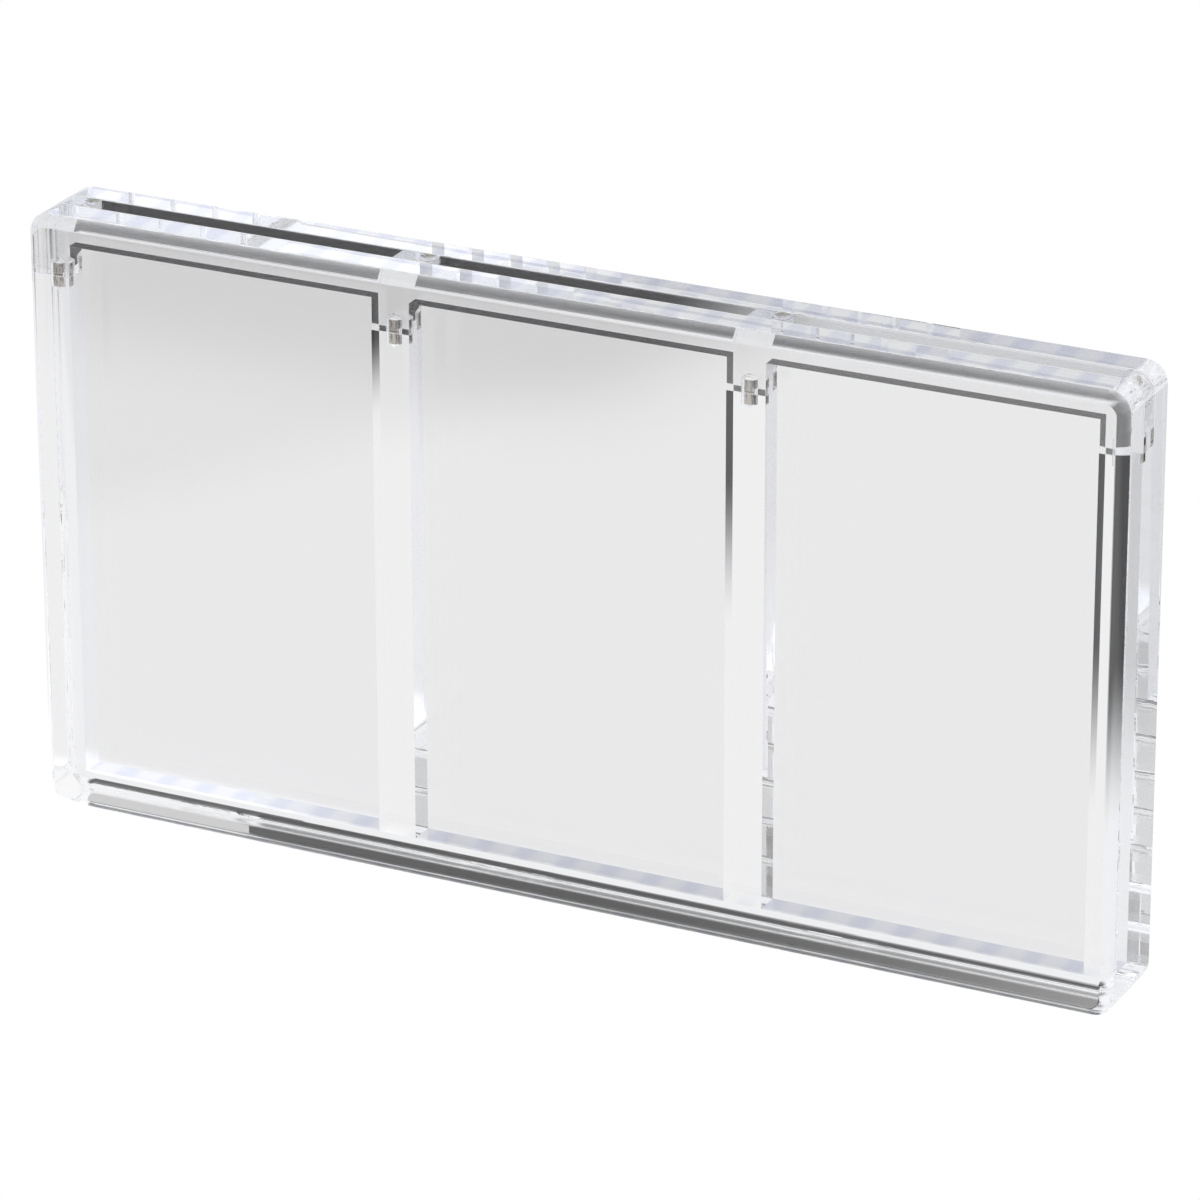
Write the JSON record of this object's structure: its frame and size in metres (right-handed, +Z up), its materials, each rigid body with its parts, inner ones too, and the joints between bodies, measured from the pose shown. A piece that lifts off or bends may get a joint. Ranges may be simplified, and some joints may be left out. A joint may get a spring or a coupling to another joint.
{
  "type": "trading card display case",
  "caption": "Clear upright case that shows graded cards side by side between two thick plates, closed by a lift-out comb lid held by magnets.",
  "frame": {"origin": "centre of the bottom face, on the surface that the case stands on", "axes": "+X across the case to the viewer's right, +Y from the front plate to the back plate, +Z up"},
  "size_m": [0.288, 0.0274, 0.157],
  "materials": {
    "clear_acrylic": "polished",
    "magnet_nickel": "polished"
  },
  "bodies": {
    "case": {"front_plate": "clear_acrylic", "back_plate": "clear_acrylic", "bottom_rail": "clear_acrylic", "left_post": "clear_acrylic", "divider_1": "clear_acrylic", "divider_2": "clear_acrylic", "right_post": "clear_acrylic", "case_magnet_1": "magnet_nickel", "case_magnet_2": "magnet_nickel", "case_magnet_3": "magnet_nickel", "case_magnet_4": "magnet_nickel"},
    "lid": {"lid_comb": "clear_acrylic", "lid_magnet_1": "magnet_nickel", "lid_magnet_2": "magnet_nickel", "lid_magnet_3": "magnet_nickel", "lid_magnet_4": "magnet_nickel"}
  },
  "joints": [
    {"name": "lid_lift", "type": "slide", "parent": "case", "child": "lid", "axis": [0, 0, 1], "range_m": [0, 0.04]}
  ]
}
